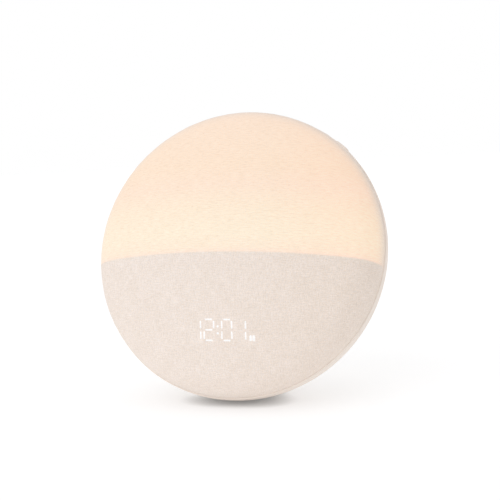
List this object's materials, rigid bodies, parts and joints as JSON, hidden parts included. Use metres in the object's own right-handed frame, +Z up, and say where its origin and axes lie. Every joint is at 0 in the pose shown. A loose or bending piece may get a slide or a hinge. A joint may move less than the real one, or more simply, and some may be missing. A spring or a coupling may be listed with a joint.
{
  "type": "sunrise alarm clock",
  "caption": "Round leaning bedside sunrise alarm clock with a linen-covered dome: glowing upper half, hidden LED time display below, rim buttons, rear speaker, on a round foot.",
  "frame": {"origin": "centre of the foot's underside, on the surface the clock stands on", "axes": "+Z up, front of the clock towards -Y, +X to the right seen from the front"},
  "size_m": [0.202, 0.1214, 0.1936],
  "materials": {
    "linen": "plain-weave natural linen with slubs",
    "milky_diffuser": "milky light-diffusing moulding",
    "opaque_white": "opaque white moulding",
    "circuit_board": "solder-masked glass epoxy board",
    "lamp": "phosphor-filled lamp package",
    "lit_bar": "clear light bar, lit",
    "dark_bar": "clear light bar, unlit",
    "steel_screw": "zinc-plated steel",
    "black_component": "moulded black component",
    "casing": "fine satin spark texture",
    "grille": "fine satin spark texture, pierced",
    "button": "satin",
    "plunger": "white nylon",
    "basket": "black powder coat",
    "magnet": "ferrite ring between plated steel plates",
    "soft_rubber": "matt silicone",
    "paper_cone": "coated paper",
    "contact": "plated contact",
    "lead": "white insulation"
  },
  "bodies": {
    "clock": {"fabric_cover": "linen", "diffuser_shell": "milky_diffuser", "lower_shell": "opaque_white", "horizon_baffle": "opaque_white", "hem_hoop": "opaque_white", "chassis_plate": "opaque_white", "reflector_tray": "opaque_white", "display_block": "opaque_white", "lamp_board": "circuit_board", "display_board": "circuit_board", "main_board": "circuit_board", "jack_board": "circuit_board", "alarm_switch_board": "circuit_board", "right_switch_board": "circuit_board", "left_switch_board": "circuit_board", "top_switch_board": "circuit_board", "lamp_packages": "lamp", "display_sources": "lamp", "lit_segments": "lit_bar", "unlit_segments": "dark_bar", "lamp_board_screws": "steel_screw", "display_screws": "steel_screw", "board_screws": "steel_screw", "chassis_screws": "steel_screw", "speaker_screws": "steel_screw", "foot_screws": "steel_screw", "back_board_screws": "steel_screw", "rim_board_screws": "steel_screw", "panel_screws": "steel_screw", "board_components": "black_component", "tact_switches": "black_component", "alarm_switch": "black_component", "power_jack": "black_component", "rear_housing": "casing", "back_panel": "casing", "foot_base": "casing", "speaker_grille": "grille", "speaker_basket": "basket", "speaker_magnet": "magnet", "speaker_surround": "soft_rubber", "speaker_gasket": "soft_rubber", "foot_pad": "soft_rubber", "jack_contacts": "contact", "speaker_lead": "lead", "lamp_lead": "lead", "power_lead": "lead", "display_ribbon": "lead"},
    "volume_up": {"volume_up_button": "button", "volume_up_plunger": "plunger"},
    "volume_down": {"volume_down_button": "button", "volume_down_plunger": "plunger"},
    "brightness_up": {"brightness_up_button": "button", "brightness_up_plunger": "plunger"},
    "brightness_down": {"brightness_down_button": "button", "brightness_down_plunger": "plunger"},
    "snooze": {"snooze_button": "button", "snooze_plunger": "plunger"},
    "alarm_slide": {"alarm_knob": "button"},
    "cone": {"speaker_cone": "paper_cone"}
  },
  "joints": [
    {"name": "volume_up_press", "type": "slide", "parent": "clock", "child": "volume_up", "axis": [-0.5821, -0.3046, -0.7539], "range_m": [0, 0.0007], "stiffness_N_per_m": 600, "springref_m": -0.0008},
    {"name": "volume_down_press", "type": "slide", "parent": "clock", "child": "volume_down", "axis": [-0.5821, -0.3046, -0.7539], "range_m": [0, 0.0007], "stiffness_N_per_m": 600, "springref_m": -0.0008},
    {"name": "brightness_up_press", "type": "slide", "parent": "clock", "child": "brightness_up", "axis": [0.5821, -0.3046, -0.7539], "range_m": [0, 0.0007], "stiffness_N_per_m": 600, "springref_m": -0.0008},
    {"name": "brightness_down_press", "type": "slide", "parent": "clock", "child": "brightness_down", "axis": [0.5821, -0.3046, -0.7539], "range_m": [0, 0.0007], "stiffness_N_per_m": 600, "springref_m": -0.0008},
    {"name": "snooze_press", "type": "slide", "parent": "clock", "child": "snooze", "axis": [0, -0.3746, -0.9272], "range_m": [0, 0.0007], "stiffness_N_per_m": 600, "springref_m": -0.0008},
    {"name": "alarm_slide_move", "type": "slide", "parent": "clock", "child": "alarm_slide", "axis": [0, 0.3746, 0.9272], "range_m": [0, 0.004]},
    {"name": "cone_stroke", "type": "slide", "parent": "clock", "child": "cone", "axis": [0, -0.9272, 0.3746], "range_m": [-0.0008, 0.0008], "stiffness_N_per_m": 1500}
  ]
}
